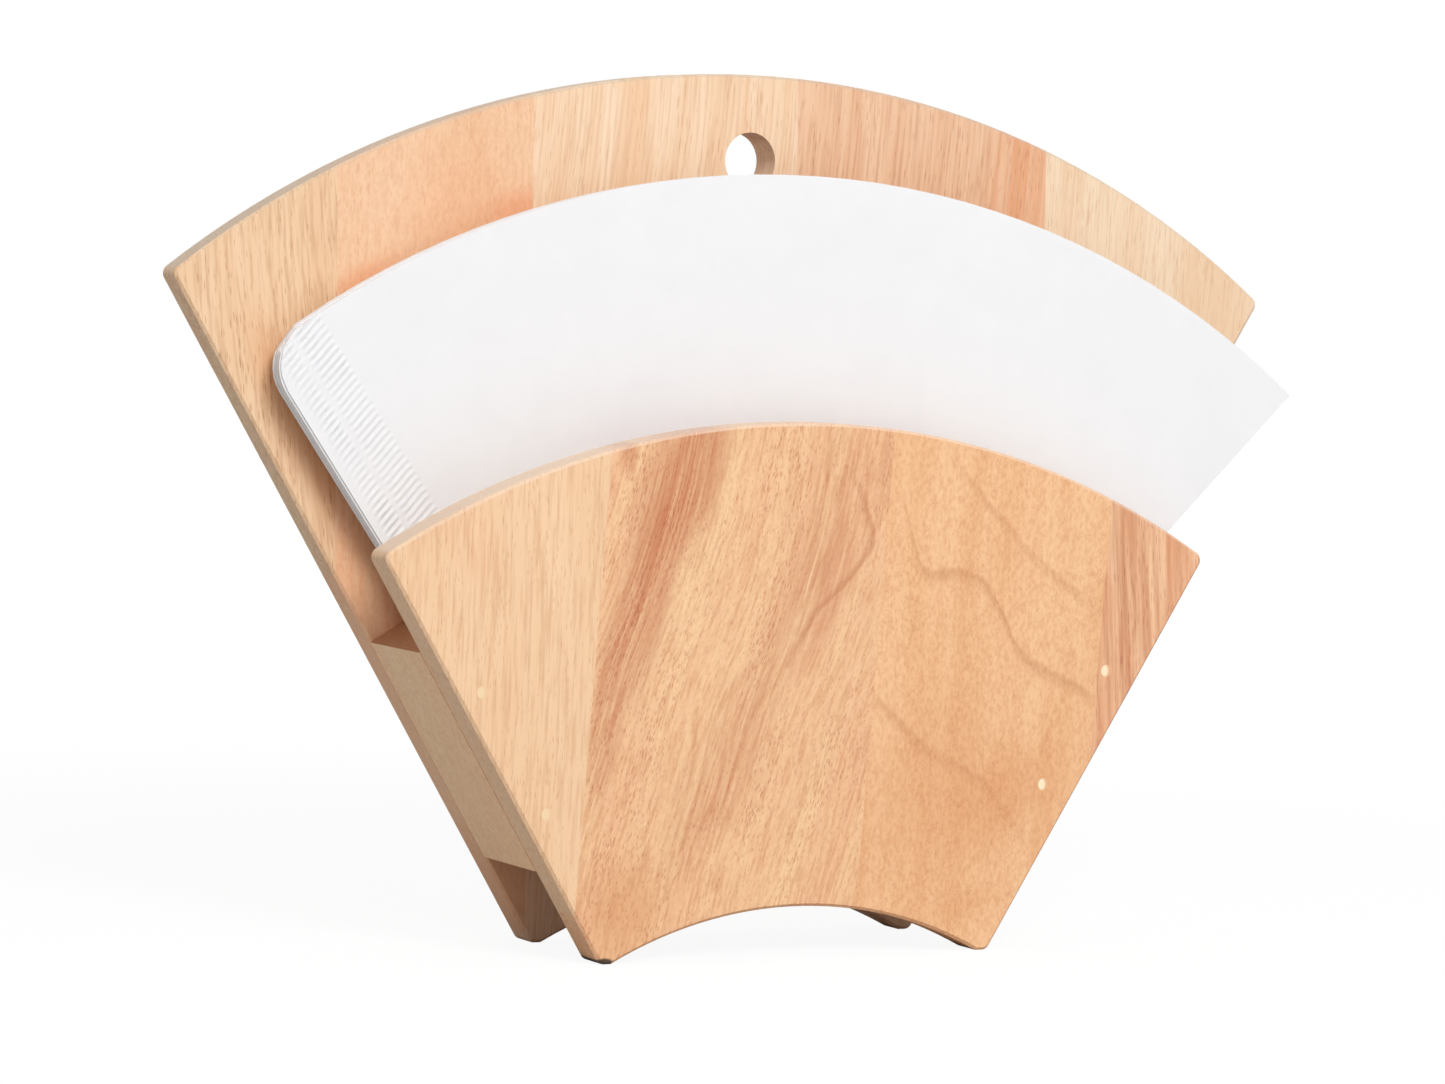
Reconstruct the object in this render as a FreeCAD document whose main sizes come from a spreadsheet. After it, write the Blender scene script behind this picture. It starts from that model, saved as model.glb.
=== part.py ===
import FreeCAD, Part
import math
import os

import Sketcher

# Coffee filter holder in edge glued hardwood
# A tall back board and a short front board, both sectors of a fan, stand a slot apart on
# two nailed spacer blocks. A stack of paper filters hangs in the slot with its slanted
# sides on the inner top corners of the blocks. Millimetres, +Z up, front towards -Y,
# origin at the middle of the footprint on the surface that it stands on.

doc = FreeCAD.newDocument("coffee_filter_holder")

# Driving dimensions
sheet = doc.addObject("Spreadsheet::Sheet", "sizes")
SIZES = [
    # boards
    ("base_half_width", 38.15),
    ("side_angle", 31.35),
    ("board_thickness", 7.0),
    ("slot_depth", 20.5),
    ("back_height", 152.6),
    ("back_arc_radius", 175.0),
    ("front_height", 92.5),
    ("front_arc_radius", 151.9),
    ("foot_flat", 2.2),
    ("foot_arch", 8.85),
    ("foot_corner_radius", 1.6),
    ("top_corner_radius", 1.6),
    ("edge_ease", 0.5),
    ("back_edge_ease", 1.4),
    # hanging hole
    ("hang_hole_diameter", 10.0),
    ("hang_hole_drop", 15.1),
    # edge glued staves: where each joint line meets the floor line, counted outwards from
    # the nearer foot corner, or for the middle one from the centre line
    ("front_lean_angle", 3.2),
    ("front_joint_one_beyond", 5.61),
    ("front_joint_two_place", 10.64),
    ("front_joint_three_beyond", 17.9),
    ("back_lean_angle", -1.3),
    ("back_joint_one_beyond", 37.63),
    ("back_joint_two_beyond", 1.03),
    ("back_joint_three_place", 12.62),
    ("back_joint_four_beyond", 25.88),
    # spacer blocks
    ("spacer_width", 8.0),
    ("spacer_length", 43.8),
    ("spacer_lift", 17.97),
    # brads and the filler over their sunk heads
    ("brad_shank_diameter", 1.2),
    ("brad_head_diameter", 2.0),
    ("brad_head_height", 0.6),
    ("brad_length", 18.0),
    ("brad_point", 1.8),
    ("brad_sink", 1.2),
    ("filler_diameter", 2.2),
    ("brad_upper_margin_left", 9.7),
    ("brad_lower_margin_left", 9.8),
    ("brad_upper_margin_right", 8.0),
    ("brad_lower_margin_right", 12.3),
    ("brad_inset_left", 4.2),
    ("brad_inset_right", 6.4),
    # filter stack
    ("filter_left_angle", 34.6),
    ("filter_right_angle", 44.1),
    ("filter_rest_gap", 0.25),
    ("filter_rise", 78.1),
    ("filter_arc_radius", 158.3),
    ("filter_arc_shift", 2.4),
    ("filter_drop", 45.0),
    ("filter_tilt_angle", 4.7),
    ("filter_corner_radius", 8.0),
    ("stack_thickness", 4.5),
    ("stack_turn_angle", 3.5),
    ("stack_offset", 0.0),
]
for row, (alias, value) in enumerate(SIZES, start=1):
    sheet.set("A%d" % row, alias)
    sheet.set("B%d" % row, str(value))
    sheet.setAlias("B%d" % row, alias)
doc.recompute()


def size(alias):
    return float(sheet.get(alias))


# Shared places worked out from the driving dimensions
half_base = size("base_half_width")
angle = math.radians(size("side_angle"))
side_x = math.sin(angle)
side_z = math.cos(angle)
thickness = size("board_thickness")
slot = size("slot_depth")
front_face = -(slot / 2 + thickness)
slot_front = -slot / 2
slot_back = slot / 2
hole_z = size("back_height") - size("hang_hole_drop")


def side_point(along, inset=0.0):
    """Point at a distance along the right slanted side, inset into the board."""
    x = half_base + along * side_x - inset * side_z
    z = along * side_z + inset * side_x
    return x, z


def top_corner(height, radius):
    """Where the right side meets the arc whose crown is at the given height."""
    centre = height - radius
    b = half_base * side_x - centre * side_z
    c = half_base ** 2 + centre ** 2 - radius ** 2
    return side_point(-b + math.sqrt(b * b - c))


# Drawing helpers
def vec(x, y):
    return FreeCAD.Vector(x, y, 0)


def plane_of(body, role):
    for item in body.Origin.OriginFeatures:
        if item.Role == role:
            return item
    raise ValueError("no plane " + role)


def new_body(name):
    body = doc.addObject("PartDesign::Body", name)
    body.Label = name
    return body


def upright_sketch(body, name):
    """Sketch on the body's own XZ plane: local x is X and local y is Z."""
    sketch = body.newObject("Sketcher::SketchObject", name)
    sketch.AttachmentSupport = [(plane_of(body, "XZ_Plane"), "")]
    sketch.MapMode = "FlatFace"
    return sketch


def bind(sketch, constraint, name, formula):
    index = sketch.addConstraint(constraint)
    sketch.renameConstraint(index, name)
    sketch.setExpression("Constraints." + name, formula)
    return index


def arc_between(sketch, start, end, centre):
    """Arc from start to end, anticlockwise about its centre."""
    radius = math.hypot(start[0] - centre[0], start[1] - centre[1])
    a0 = math.atan2(start[1] - centre[1], start[0] - centre[0])
    a1 = math.atan2(end[1] - centre[1], end[0] - centre[0])
    if a1 < a0:
        a1 += 2 * math.pi
    circle = Part.Circle(vec(*centre), FreeCAD.Vector(0, 0, 1), radius)
    return sketch.addGeometry(Part.ArcOfCircle(circle, a0, a1), False)


def line_between(sketch, start, end):
    return sketch.addGeometry(Part.LineSegment(vec(*start), vec(*end)), False)


def pad(body, sketch, name, formula, towards_back=True):
    feature = body.newObject("PartDesign::Pad", name)
    feature.Profile = sketch
    feature.Reversed = towards_back
    feature.setExpression("Length", formula)
    return feature


def volume(shape_owner):
    doc.recompute()
    return shape_owner.Shape.Volume


# One board: a fan sector on two level foot flats joined by a low arch
def fan_board(name, height_alias, radius_alias, depth_y, rear_ease):
    height = size(height_alias)
    radius = size(radius_alias)
    corner = top_corner(height, radius)
    inner = half_base - size("foot_flat")
    arch = size("foot_arch")
    arch_radius = (inner ** 2 + arch ** 2) / (2 * arch)
    body = new_body(name)
    sk = upright_sketch(body, name + "_outline")
    crown = arc_between(sk, corner, (-corner[0], corner[1]), (0, height - radius))
    left = line_between(sk, (-corner[0], corner[1]), (-half_base, 0))
    flat_left = line_between(sk, (-half_base, 0), (-inner, 0))
    foot_arc = arc_between(sk, (inner, 0), (-inner, 0), (0, arch - arch_radius))
    flat_right = line_between(sk, (inner, 0), (half_base, 0))
    right = line_between(sk, (half_base, 0), corner)
    join = lambda a, i, b, j: sk.addConstraint(Sketcher.Constraint("Coincident", a, i, b, j))
    join(crown, 2, left, 1)
    join(left, 2, flat_left, 1)
    join(flat_left, 2, foot_arc, 2)
    join(foot_arc, 1, flat_right, 1)
    join(flat_right, 2, right, 1)
    join(right, 2, crown, 1)
    sk.addConstraint(Sketcher.Constraint("Horizontal", flat_right))
    sk.addConstraint(Sketcher.Constraint("PointOnObject", flat_right, 1, -1))
    sk.addConstraint(Sketcher.Constraint("Symmetric", right, 1, left, 2, -2))
    sk.addConstraint(Sketcher.Constraint("Symmetric", flat_right, 1, flat_left, 2, -2))
    sk.addConstraint(Sketcher.Constraint("Symmetric", right, 2, left, 1, -2))
    bind(sk, Sketcher.Constraint("DistanceX", -1, 1, right, 1, half_base),
         "half_base", "sizes.base_half_width")
    bind(sk, Sketcher.Constraint("DistanceX", flat_right, 1, flat_right, 2, half_base - inner),
         "flat", "sizes.foot_flat")
    bind(sk, Sketcher.Constraint("Angle", right, math.pi / 2 - angle),
         "side", "(90 - sizes.side_angle) * 1 deg")
    bind(sk, Sketcher.Constraint("Radius", crown, radius),
         "crown_radius", "sizes." + radius_alias)
    bind(sk, Sketcher.Constraint("DistanceY", crown, 3, -1, 1, radius - height),
         "crown_centre", "sizes.%s - sizes.%s" % (radius_alias, height_alias))
    inner_formula = "(sizes.base_half_width - sizes.foot_flat)"
    bind(sk, Sketcher.Constraint("Radius", foot_arc, arch_radius), "arch_radius",
         "(%s ^ 2 + sizes.foot_arch ^ 2) / (2 * sizes.foot_arch)" % inner_formula)
    pad(body, sk, name + "_plank", "sizes.board_thickness")
    doc.recompute()

    # Corners first, then the rims of both faces. The back board's rear rim is eased most
    def corner_edges(shape, low):
        picked = []
        for i, edge in enumerate(shape.Edges, start=1):
            a, b = edge.Vertexes[0].Point, edge.Vertexes[-1].Point
            along_y = abs(a.x - b.x) < 0.01 and abs(a.z - b.z) < 0.01
            outer = abs(a.x) > half_base - 0.5 * size("foot_flat")
            if along_y and outer and (a.z < 1.0) == low:
                picked.append("Edge%d" % i)
        return picked

    tip = body.Tip
    for label, low, alias in (("foot", True, "foot_corner_radius"),
                              ("top", False, "top_corner_radius")):
        fillet = body.newObject("PartDesign::Fillet", "%s_%s_corners" % (name, label))
        fillet.Base = (tip, corner_edges(tip.Shape, low))
        fillet.setExpression("Radius", "sizes." + alias)
        doc.recompute()
        tip = fillet
    for label, towards, alias in (("front", -1, "edge_ease"), ("back", 1, rear_ease)):
        rims = []
        for i, face in enumerate(tip.Shape.Faces, start=1):
            if abs(face.normalAt(0, 0).y - towards) < 1e-6:
                rims.append("Face%d" % i)
        ease = body.newObject("PartDesign::Chamfer", "%s_%s_rims" % (name, label))
        ease.Base = (tip, rims)
        ease.setExpression("Size", "sizes." + alias)
        doc.recompute()
        tip = ease
    body.Placement = FreeCAD.Placement(FreeCAD.Vector(0, depth_y, 0), FreeCAD.Rotation())
    doc.recompute()
    return body


def bore_pocket(body, name, places, diameter_formula, depth_formula=None, towards_back=True):
    """Round holes from the body's front plane, each at an x and z with its expressions."""
    before = volume(body)
    sk = upright_sketch(body, name + "_circles")
    for n, (x, z) in enumerate(places):
        circle = Part.Circle(vec(x, z), FreeCAD.Vector(0, 0, 1), 1.0)
        ring = sk.addGeometry(circle, False)
        bind(sk, Sketcher.Constraint("Diameter", ring, 2.0), "bore_%d" % n, diameter_formula)
        sk.addConstraint(Sketcher.Constraint("DistanceX", -1, 1, ring, 3, x))
        sk.addConstraint(Sketcher.Constraint("DistanceY", -1, 1, ring, 3, z))
    pocket = body.newObject("PartDesign::Pocket", name)
    pocket.Profile = sk
    pocket.Reversed = not towards_back
    if depth_formula:
        pocket.setExpression("Length", depth_formula)
    else:
        pocket.Type = "ThroughAll"
    after = volume(body)
    if after >= before - 1e-3:
        raise ValueError(name + " cut nothing")
    return pocket


# Places of the brads, measured along the slanted sides
spacer_top = size("spacer_lift") + size("spacer_length")
brads = []
for side, sign in (("left", -1), ("right", 1)):
    inset = size("brad_inset_" + side)
    high = spacer_top - size("brad_upper_margin_" + side)
    low = size("spacer_lift") + size("brad_lower_margin_" + side)
    for level, along in (("upper", high), ("lower", low)):
        x, z = side_point(along, inset)
        brads.append((side, level, sign * x, z, along, inset))

# Boards
back_board = fan_board("back_board", "back_height", "back_arc_radius", slot_back,
                       "back_edge_ease")
front_board = fan_board("front_board", "front_height", "front_arc_radius", front_face,
                        "edge_ease")
bore_pocket(back_board, "hanging_hole", [(0.0001, hole_z)], "sizes.hang_hole_diameter")
brad_places = [(b[2], b[3]) for b in brads]
bore_pocket(front_board, "brad_holes", brad_places, "sizes.brad_shank_diameter")
bore_pocket(front_board, "brad_head_seats", brad_places, "sizes.brad_head_diameter",
            "sizes.brad_sink + sizes.brad_head_height")
bore_pocket(front_board, "filler_seats", brad_places, "sizes.filler_diameter",
            "sizes.brad_sink")


# Each board is glued up from staves and sawn to shape after that
def staves(board, prefix, lean_alias, joints, front_y):
    lean = math.radians(size(lean_alias))
    reach = 2 * (size("back_height") + half_base)

    def place(joint):
        outwards, alias = joint
        return outwards * (half_base + size(alias)) if outwards else size(alias)

    def place_formula(joint):
        outwards, alias = joint
        corner = "(sizes.base_half_width + sizes.%s)" % alias
        return "%d * %s" % (outwards, corner) if outwards else "sizes." + alias

    edges = [None] + joints + [None]
    pieces = []
    for n in range(len(edges) - 1):
        left, right = edges[n], edges[n + 1]
        slab = doc.addObject("Part::Box", "%s_strip_%d" % (prefix, n + 1))
        start = place(left) if left else place(right) - reach
        slab.setExpression("Width", "sizes.board_thickness + 2")
        slab.Height = 2 * reach
        if left and right:
            slab.setExpression("Length", "(%s - (%s)) * cos(sizes.%s * 1 deg)" % (
                place_formula(right), place_formula(left), lean_alias))
        else:
            slab.Length = reach * math.cos(lean)
        # the strip leans about the point where its left edge meets the floor line
        turn = FreeCAD.Rotation(FreeCAD.Vector(0, 1, 0), math.degrees(lean))
        foot = FreeCAD.Vector(start, front_y - 1, 0)
        down = turn.multVec(FreeCAD.Vector(0, 0, -reach / 2))
        # a leaning edge crosses the floor line where its joint is stated
        slab.Placement = FreeCAD.Placement(foot + down, turn)
        stave = doc.addObject("Part::Common", "%s_stave_%d" % (prefix, n + 1))
        stave.Label = "%s_stave_%d" % (prefix, n + 1)
        stave.Base = board
        stave.Tool = slab
        pieces.append(stave)
    doc.recompute()
    return pieces


back_joints = [(-1, "back_joint_one_beyond"), (-1, "back_joint_two_beyond"),
               (0, "back_joint_three_place"), (1, "back_joint_four_beyond")]
front_joints = [(-1, "front_joint_one_beyond"), (0, "front_joint_two_place"),
                (1, "front_joint_three_beyond")]
back_staves = staves(back_board, "back", "back_lean_angle", back_joints, slot_back)
front_staves = staves(front_board, "front", "front_lean_angle", front_joints, front_face)


# Spacer blocks: straight strips along the slanted sides, square cut at both ends
def spacer(side, sign):
    name = side + "_spacer"
    body = new_body(name)
    sk = upright_sketch(body, name + "_section")
    width = size("spacer_width")
    length = size("spacer_length")
    x0, x1 = (0, -sign * width)
    a, b = min(x0, x1), max(x0, x1)
    low = line_between(sk, (a, 0), (b, 0))
    right = line_between(sk, (b, 0), (b, length))
    top = line_between(sk, (b, length), (a, length))
    left = line_between(sk, (a, length), (a, 0))
    for first, second in ((low, right), (right, top), (top, left), (left, low)):
        sk.addConstraint(Sketcher.Constraint("Coincident", first, 2, second, 1))
    sk.addConstraint(Sketcher.Constraint("Horizontal", low))
    sk.addConstraint(Sketcher.Constraint("Horizontal", top))
    sk.addConstraint(Sketcher.Constraint("Vertical", left))
    sk.addConstraint(Sketcher.Constraint("Vertical", right))
    anchor = (low, 2) if sign > 0 else (low, 1)
    sk.addConstraint(Sketcher.Constraint("Coincident", anchor[0], anchor[1], -1, 1))
    bind(sk, Sketcher.Constraint("DistanceX", low, 1, low, 2, width),
         "strip_width", "sizes.spacer_width")
    bind(sk, Sketcher.Constraint("DistanceY", right, 1, right, 2, length),
         "strip_length", "sizes.spacer_length")
    pad(body, sk, name + "_strip", "sizes.slot_depth")
    holes = []
    for b_side, level, x, z, along, inset in brads:
        if b_side == side:
            holes.append((-sign * inset, along - size("spacer_lift")))
    bore_pocket(body, name + "_brad_holes", holes, "sizes.brad_shank_diameter",
                "sizes.brad_sink + sizes.brad_length - sizes.board_thickness")
    x, z = side_point(size("spacer_lift"))
    turn = FreeCAD.Rotation(FreeCAD.Vector(0, 1, 0), sign * math.degrees(angle))
    body.Placement = FreeCAD.Placement(FreeCAD.Vector(sign * x, slot_front, z), turn)
    doc.recompute()
    return body


spacers = [spacer("left", -1), spacer("right", 1)]


# Brads: headed, pointed, driven below the face; filler closes each hole flush
def brad(side, level, x, z):
    name = "%s_%s_brad" % (side, level)
    body = new_body(name)
    sk = body.newObject("Sketcher::SketchObject", name + "_profile")
    sk.AttachmentSupport = [(plane_of(body, "XY_Plane"), "")]
    sk.MapMode = "FlatFace"
    head = size("brad_head_diameter") / 2
    shank = size("brad_shank_diameter") / 2
    tall = size("brad_head_height")
    length = size("brad_length")
    point = size("brad_point")
    corners = [(0, 0), (head, 0), (head, tall), (shank, tall), (shank, length - point),
               (0, length)]
    lines = []
    for n in range(len(corners)):
        lines.append(line_between(sk, corners[n], corners[(n + 1) % len(corners)]))
    for n in range(len(lines)):
        following = lines[(n + 1) % len(lines)]
        sk.addConstraint(Sketcher.Constraint("Coincident", lines[n], 2, following, 1))
    sk.addConstraint(Sketcher.Constraint("Coincident", lines[0], 1, -1, 1))
    for n in (0, 2):
        sk.addConstraint(Sketcher.Constraint("Horizontal", lines[n]))
    for n in (1, 3, 5):
        sk.addConstraint(Sketcher.Constraint("Vertical", lines[n]))
    bind(sk, Sketcher.Constraint("DistanceX", lines[0], 1, lines[0], 2, head),
         "head_radius", "sizes.brad_head_diameter / 2")
    bind(sk, Sketcher.Constraint("DistanceX", -1, 1, lines[3], 1, shank),
         "shank_radius", "sizes.brad_shank_diameter / 2")
    bind(sk, Sketcher.Constraint("DistanceY", -1, 1, lines[2], 1, tall),
         "head_height", "sizes.brad_head_height")
    bind(sk, Sketcher.Constraint("DistanceY", -1, 1, lines[3], 2, length - point),
         "shoulder", "sizes.brad_length - sizes.brad_point")
    bind(sk, Sketcher.Constraint("DistanceY", -1, 1, lines[5], 1, length),
         "full_length", "sizes.brad_length")
    turned = body.newObject("PartDesign::Revolution", name + "_turned")
    turned.Profile = sk
    turned.ReferenceAxis = (sk, ["V_Axis"])
    turned.Angle = 360
    body.Placement = FreeCAD.Placement(
        FreeCAD.Vector(x, front_face + size("brad_sink"), z), FreeCAD.Rotation())
    plug = doc.addObject("Part::Cylinder", "%s_%s_filler" % (side, level))
    plug.Label = "%s_%s_filler" % (side, level)
    plug.setExpression("Radius", "sizes.filler_diameter / 2")
    plug.setExpression("Height", "sizes.brad_sink")
    back = FreeCAD.Rotation(FreeCAD.Vector(1, 0, 0), -90)
    plug.Placement = FreeCAD.Placement(FreeCAD.Vector(x, front_face, z), back)
    return body, plug


fixings = []
for side, level, x, z, along, inset in brads:
    fixings.extend(brad(side, level, x, z))
doc.recompute()


# Filter stack: folded paper sectors, hung by their slanted sides on the spacers
def filter_stack():
    rest_x, rest_z = side_point(spacer_top, size("spacer_width"))
    gap = size("filter_rest_gap")
    left_a = math.radians(size("filter_left_angle"))
    right_a = math.radians(size("filter_right_angle"))
    crown_z = rest_z + size("filter_rise")
    radius = size("filter_arc_radius")
    centre = (size("filter_arc_shift"), crown_z - radius)
    # a point on each side line, a gap off the block's inner top corner
    left_at = (-rest_x + gap * math.cos(left_a), rest_z + gap * math.sin(left_a))
    right_at = (rest_x - gap * math.cos(right_a), rest_z + gap * math.sin(right_a))

    def meet_arc(point, direction):
        dx, dz = point[0] - centre[0], point[1] - centre[1]
        b = dx * direction[0] + dz * direction[1]
        c = dx * dx + dz * dz - radius * radius
        t = -b + math.sqrt(b * b - c)
        return point[0] + t * direction[0], point[1] + t * direction[1]

    left_dir = (-math.sin(left_a), math.cos(left_a))
    right_dir = (math.sin(right_a), math.cos(right_a))
    left_top = meet_arc(left_at, left_dir)
    right_top = meet_arc(right_at, right_dir)
    # the crimped bottom edge runs square to the filters' own leaning axis
    tilt = math.radians(size("filter_tilt_angle"))
    foot_z = rest_z - size("filter_drop")
    slope = -math.tan(tilt)

    def meet_foot(point, direction):
        t = (foot_z + slope * point[0] - point[1]) / (direction[1] - slope * direction[0])
        return point[0] + t * direction[0], point[1] + t * direction[1]

    left_foot = meet_foot(left_at, left_dir)
    right_foot = meet_foot(right_at, right_dir)
    body = new_body("filter_stack")
    sk = upright_sketch(body, "filter_outline")
    crown = arc_between(sk, right_top, left_top, centre)
    left = line_between(sk, left_top, left_foot)
    foot = line_between(sk, left_foot, right_foot)
    right = line_between(sk, right_foot, right_top)
    for first, second in ((crown, left), (left, foot), (foot, right), (right, crown)):
        sk.addConstraint(Sketcher.Constraint("Coincident", first, 2, second, 1))
    bind(sk, Sketcher.Constraint("Radius", crown, radius),
         "crown_radius", "sizes.filter_arc_radius")
    bind(sk, Sketcher.Constraint("DistanceX", -1, 1, crown, 3, centre[0]),
         "crown_shift", "sizes.filter_arc_shift")
    for place, (geo, pos, point) in enumerate(((crown, 3, centre), (left, 2, left_foot),
                                               (right, 1, right_foot), (left, 1, left_top),
                                               (right, 2, right_top))):
        if geo != crown:
            sk.addConstraint(Sketcher.Constraint("DistanceX", -1, 1, geo, pos, point[0]))
        if place < 3:
            sk.addConstraint(Sketcher.Constraint("DistanceY", -1, 1, geo, pos, point[1]))
    pad(body, sk, "filter_sheets", "sizes.stack_thickness")
    doc.recompute()
    tip = body.Tip
    picked = []
    for i, edge in enumerate(tip.Shape.Edges, start=1):
        a, b = edge.Vertexes[0].Point, edge.Vertexes[-1].Point
        along_y = abs(a.x - b.x) < 0.01 and abs(a.z - b.z) < 0.01
        if along_y and abs(a.x - left_top[0]) < 0.1:
            picked.append("Edge%d" % i)
    fillet = body.newObject("PartDesign::Fillet", "filter_rounded_corner")
    fillet.Base = (tip, picked)
    fillet.setExpression("Radius", "sizes.filter_corner_radius")
    turn = FreeCAD.Rotation(FreeCAD.Vector(0, 0, 1), -size("stack_turn_angle"))
    front = size("stack_offset") - size("stack_thickness") / 2
    body.Placement = FreeCAD.Placement(FreeCAD.Vector(0, front, 0), turn)
    doc.recompute()
    return body


stack = filter_stack()

# Every object is sound before anything is written
doc.recompute()
for item in doc.Objects:
    if "Invalid" in item.State or "Error" in item.State:
        raise ValueError("%s failed: %s" % (item.Name, item.State))
subparts = back_staves + front_staves + spacers + fixings + [stack]
os.makedirs("parts", exist_ok=True)
for item in subparts:
    shape = item.Shape
    if shape.isNull() or not shape.isValid() or len(shape.Solids) != 1:
        raise ValueError("%s is not one sound solid" % item.Label)
for item in subparts:
    item.Shape.exportStep("parts/%s.step" % item.Label)
    box = item.Shape.BoundBox
    print("%-22s volume %9.1f  x %7.2f %7.2f  y %6.2f %6.2f  z %7.2f %7.2f" % (
        item.Label, item.Shape.Volume, box.XMin, box.XMax, box.YMin, box.YMax,
        box.ZMin, box.ZMax))
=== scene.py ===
# %% [markdown]
# # A coffee filter holder in edge-glued rubberwood
#
# The real object is two fan-shaped boards, a slot's width apart on two spacer blocks, with a
# stack of white paper filters hanging in the slot. The boards and blocks come from the packed
# CAD model, so this lesson doesn't shape them again. It gives each stave its own wood, builds
# the filters sheet by sheet, and sets up the camera and the studio light.
# Everything is in metres, +Z is up and the short front board faces -Y.

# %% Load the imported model
import math
import random

import bpy
from mathutils import Vector, Matrix, noise


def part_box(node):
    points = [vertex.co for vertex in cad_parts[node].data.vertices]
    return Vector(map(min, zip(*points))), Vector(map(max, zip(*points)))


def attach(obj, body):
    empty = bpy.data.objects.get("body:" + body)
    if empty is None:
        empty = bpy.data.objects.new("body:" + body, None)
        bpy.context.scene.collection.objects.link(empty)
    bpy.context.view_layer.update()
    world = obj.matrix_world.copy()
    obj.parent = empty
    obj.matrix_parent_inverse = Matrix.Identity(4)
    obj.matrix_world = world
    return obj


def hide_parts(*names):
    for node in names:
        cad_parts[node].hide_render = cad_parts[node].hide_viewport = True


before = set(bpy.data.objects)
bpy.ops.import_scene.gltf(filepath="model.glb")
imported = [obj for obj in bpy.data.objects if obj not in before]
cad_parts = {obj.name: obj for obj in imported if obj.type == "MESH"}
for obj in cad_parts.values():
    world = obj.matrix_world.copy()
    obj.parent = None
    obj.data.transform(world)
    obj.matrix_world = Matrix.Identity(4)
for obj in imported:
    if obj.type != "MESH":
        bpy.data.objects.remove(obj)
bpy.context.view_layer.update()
scene = bpy.context.scene

# %% [markdown]
# The camera comes first, because every later choice is checked through it. Its place was
# worked out from the straight sides and arcs of the boards: a long lens 0.9 m away, 28 degrees
# round to the left, level with the holder's upper half and tipped by two degrees. A look-at
# constraint would be quicker, but it can't hold that tip, so the three axes are built by hand.

# %% Camera
CAMERA_PLACE = Vector((-0.42699, -0.79340, 0.12274))
CAMERA_YAW, CAMERA_PITCH, CAMERA_ROLL = 0.48554, 0.05778, 0.03397    # radians
FOCAL_PIXELS, PHOTO_WIDTH, SENSOR_WIDTH = 5150.0, 1445.0, 36.0       # the last one in mm

ahead = Vector((math.sin(CAMERA_YAW) * math.cos(CAMERA_PITCH),
                math.cos(CAMERA_YAW) * math.cos(CAMERA_PITCH), -math.sin(CAMERA_PITCH)))
level_right = Vector((math.cos(CAMERA_YAW), -math.sin(CAMERA_YAW), 0))
level_up = level_right.cross(ahead)
right = math.cos(CAMERA_ROLL) * level_right + math.sin(CAMERA_ROLL) * level_up
up = math.cos(CAMERA_ROLL) * level_up - math.sin(CAMERA_ROLL) * level_right

camera_data = bpy.data.cameras.new("camera")
camera_data.sensor_width = SENSOR_WIDTH
camera_data.lens = FOCAL_PIXELS / PHOTO_WIDTH * SENSOR_WIDTH
camera = bpy.data.objects.new("camera", camera_data)
scene.collection.objects.link(camera)
axes = Matrix((right, up, -ahead)).transposed().to_4x4()
camera.matrix_world = Matrix.Translation(CAMERA_PLACE) @ axes
scene.camera = camera
scene.view_settings.view_transform = "Standard"
print("lens in mm:", round(camera_data.lens, 1))

# %% [markdown]
# Colours are written as the hex values that a paint program shows. Blender's shaders work in
# linear light, so one function turns them over. A second small function adds a shader node
# with its settings and links in one call, so that the recipes below read from top to bottom.


# %% Colour and node helpers
MM = 1000.0                                          # millimetres in a metre


def linear(hex_text):
    """The linear RGBA of a colour such as f4c9a0."""
    parts = [int(hex_text[i:i + 2], 16) / 255 for i in (0, 2, 4)]
    return [p / 12.92 if p < 0.04045 else ((p + 0.055) / 1.055) ** 2.4 for p in parts] + [1.0]


def add(tree, kind, inputs=None, **settings):
    """A new shader node. An input is a value, or the socket or node that feeds it."""
    node = tree.nodes.new("ShaderNode" + kind)
    for name, value in settings.items():
        setattr(node, name, value)
    for name, value in (inputs or {}).items():
        if isinstance(value, bpy.types.Node):
            value = value.outputs[0]
        if isinstance(value, bpy.types.NodeSocket):
            tree.links.new(value, node.inputs[name])
        else:
            node.inputs[name].default_value = value
    return node


def new_material(name):
    material = bpy.data.materials.new(name)
    material.use_nodes = True
    material.node_tree.nodes.clear()
    return material, material.node_tree


def object_mm(tree):
    """The place on the object, in millimetres."""
    place = add(tree, "TexCoord").outputs["Object"]
    return add(tree, "VectorMath", {0: place, "Scale": MM}, operation="SCALE")


# %% [markdown]
# ## Rubberwood
#
# The boards are glued up from staves of rubberwood, sanded and sealed with a clear oil, and
# each stave was cut from another part of the tree: one is pale straw with fine pores, one has
# reddish streaks, one has wandering dark growth lines. A wood photo wrapped round each stave
# would show the same face on its edges. A solid texture is better: the pattern fills space, so
# the side faces and end grain cut through it as a saw does.
#
# Each stave's recipe works in millimetres in a grain frame: across the grain, along it, and
# into the board. Broad bands, fibres and pores are noises stretched along the grain, with the
# sizes of the real ones: pores in rubberwood are 0.2 to 0.3 mm wide and a few mm long. Single
# fibres are too fine to show, so they are drawn coarser, in bundles half a millimetre wide.


# %% Grain frame
GRAIN_REACH, BOARD_REACH = (-200, 200), (-110, 160)  # mm: the spans that the listed curves cover
WANDER_LENGTH, WANDER_WIDTH = 45.0, 2.0              # mm


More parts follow.
